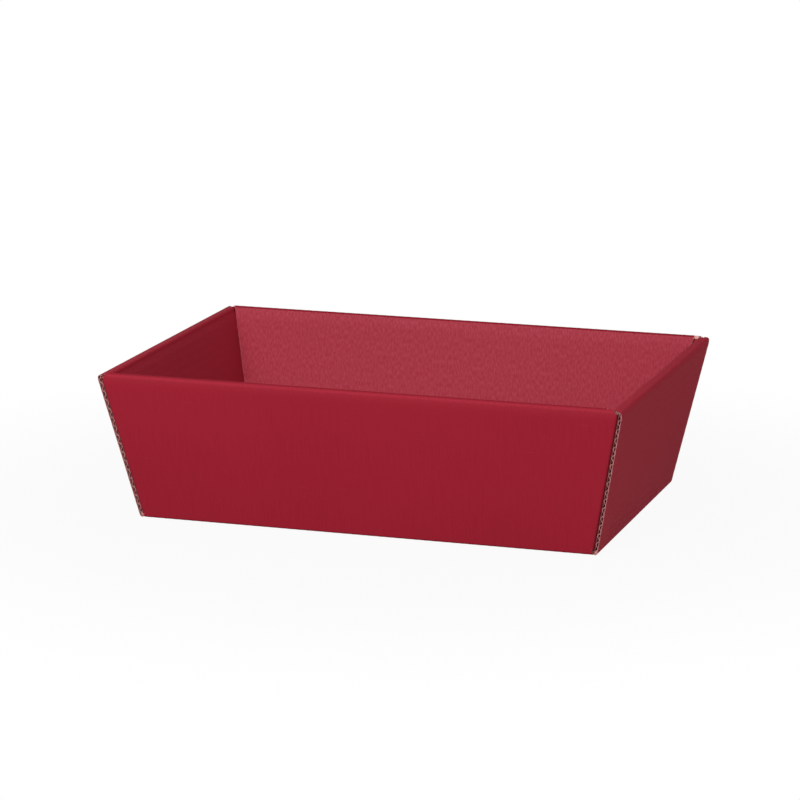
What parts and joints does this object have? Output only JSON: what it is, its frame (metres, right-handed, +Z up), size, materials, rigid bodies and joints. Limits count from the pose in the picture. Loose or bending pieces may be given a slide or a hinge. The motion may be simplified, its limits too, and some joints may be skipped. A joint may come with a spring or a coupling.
{
  "type": "cardboard tray box",
  "caption": "Open rectangular tray folded from one corrugated board blank, with outward-leaning double walls, rolled rims and fluted corner edges.",
  "frame": {"origin": "middle of the underside of the base", "axes": "+X along the long walls, +Y from the front long wall to the back one, +Z up out of the open top"},
  "size_m": [0.365, 0.2486, 0.104],
  "materials": {
    "red_corrugated_board": "matt deep red fine-ribbed paper on both faces, pale pink-brown fluted cut edges"
  },
  "bodies": {
    "root": {"folded_tray": "red_corrugated_board"}
  },
  "joints": []
}
